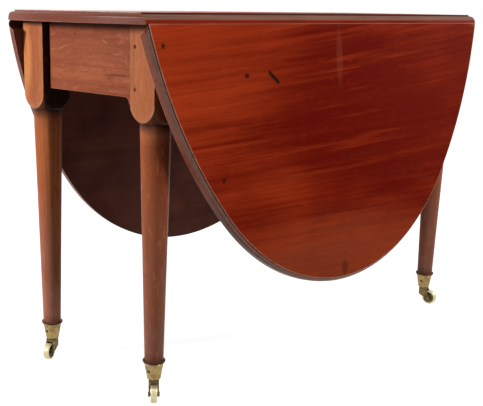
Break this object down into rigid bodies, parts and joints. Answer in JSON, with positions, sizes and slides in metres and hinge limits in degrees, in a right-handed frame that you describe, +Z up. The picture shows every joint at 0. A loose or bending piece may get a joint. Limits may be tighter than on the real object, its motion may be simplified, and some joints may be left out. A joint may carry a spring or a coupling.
{
  "type": "drop-leaf table",
  "caption": "Oval drop-leaf occasional table with rule-jointed leaves, swing legs on wooden knuckle joints, turned tapering legs and brass cup casters.",
  "frame": {"origin": "on the floor under the centre of the top", "axes": "+X across the leaves towards the right-hand leaf, +Y along the hinges, +Z up"},
  "size_m": [0.5244, 1.0958, 0.72],
  "materials": {
    "mahogany": "satin varnish",
    "secondary_wood": "bare",
    "iron": "dull",
    "brass": "aged"
  },
  "bodies": {
    "frame": {"top_board": "mahogany", "hinge_top_plates_right": "iron", "hinge_pins_right": "iron", "inner_rail_right": "secondary_wood", "fixed_rail_right": "secondary_wood", "gate_pin_right": "iron", "glue_blocks_right": "secondary_wood", "hinge_top_plates_left": "iron", "hinge_pins_left": "iron", "inner_rail_left": "secondary_wood", "fixed_rail_left": "secondary_wood", "gate_pin_left": "iron", "glue_blocks_left": "secondary_wood", "end_rail_near": "mahogany", "rail_pegs_near": "mahogany", "end_rail_far": "mahogany", "rail_pegs_far": "mahogany", "leg_near_right": "mahogany", "caster_cup_near_right": "brass", "leg_far_left": "mahogany", "caster_cup_far_left": "brass"},
    "leaf_right": {"leaf_right": "mahogany", "hinge_leaf_plates_right": "iron"},
    "leaf_left": {"leaf_left": "mahogany", "hinge_leaf_plates_left": "iron"},
    "gate_right": {"fly_rail_right": "secondary_wood", "leg_far_right": "mahogany", "caster_cup_far_right": "brass"},
    "gate_left": {"fly_rail_left": "secondary_wood", "leg_near_left": "mahogany", "caster_cup_near_left": "brass"},
    "swivel_near_right": {"caster_fork_near_right": "brass", "caster_axle_near_right": "brass"},
    "wheel_near_right": {"caster_wheel_near_right": "brass"},
    "swivel_far_left": {"caster_fork_far_left": "brass", "caster_axle_far_left": "brass"},
    "wheel_far_left": {"caster_wheel_far_left": "brass"},
    "swivel_far_right": {"caster_fork_far_right": "brass", "caster_axle_far_right": "brass"},
    "wheel_far_right": {"caster_wheel_far_right": "brass"},
    "swivel_near_left": {"caster_fork_near_left": "brass", "caster_axle_near_left": "brass"},
    "wheel_near_left": {"caster_wheel_near_left": "brass"}
  },
  "joints": [
    {"name": "leaf_right_hinge", "type": "hinge", "parent": "frame", "child": "leaf_right", "pos_m": [0.188, 0, 0.7], "axis": [0, -1, 0], "range_deg": [0, 84]},
    {"name": "leaf_left_hinge", "type": "hinge", "parent": "frame", "child": "leaf_left", "pos_m": [-0.188, 0, 0.7], "axis": [0, 1, 0], "range_deg": [0, 84]},
    {"name": "gate_right_knuckle", "type": "hinge", "parent": "frame", "child": "gate_right", "pos_m": [0.1315, 0, 0.636], "axis": [0, 0, 1], "range_deg": [0, 0.45]},
    {"name": "gate_left_knuckle", "type": "hinge", "parent": "frame", "child": "gate_left", "pos_m": [-0.1315, 0, 0.636], "axis": [0, 0, 1], "range_deg": [0, 0.45]},
    {"name": "swivel_near_right_turn", "type": "hinge", "parent": "frame", "child": "swivel_near_right", "pos_m": [0.153, -0.454, 0.041], "axis": [0, 0, 1], "continuous": true},
    {"name": "wheel_near_right_roll", "type": "hinge", "parent": "swivel_near_right", "child": "wheel_near_right", "pos_m": [0.16659, -0.46581, 0.017], "axis": [0.6561, 0.7547, 0], "continuous": true},
    {"name": "swivel_far_left_turn", "type": "hinge", "parent": "frame", "child": "swivel_far_left", "pos_m": [-0.153, 0.454, 0.041], "axis": [0, 0, 1], "continuous": true},
    {"name": "wheel_far_left_roll", "type": "hinge", "parent": "swivel_far_left", "child": "wheel_far_left", "pos_m": [-0.13609, 0.46016, 0.017], "axis": [-0.342, 0.9397, 0], "continuous": true},
    {"name": "swivel_far_right_turn", "type": "hinge", "parent": "gate_right", "child": "swivel_far_right", "pos_m": [0.15677, 0.46781, 0.041], "axis": [0, 0, 1], "continuous": true},
    {"name": "wheel_far_right_roll", "type": "hinge", "parent": "swivel_far_right", "child": "wheel_far_right", "pos_m": [0.17463, 0.47001, 0.017], "axis": [-0.1219, 0.9925, 0], "continuous": true},
    {"name": "swivel_near_left_turn", "type": "hinge", "parent": "gate_left", "child": "swivel_near_left", "pos_m": [-0.15677, -0.46781, 0.041], "axis": [0, 0, 1], "continuous": true},
    {"name": "wheel_near_left_roll", "type": "hinge", "parent": "swivel_near_left", "child": "wheel_near_left", "pos_m": [-0.14804, -0.48356, 0.017], "axis": [0.8746, 0.4848, 0], "continuous": true}
  ]
}
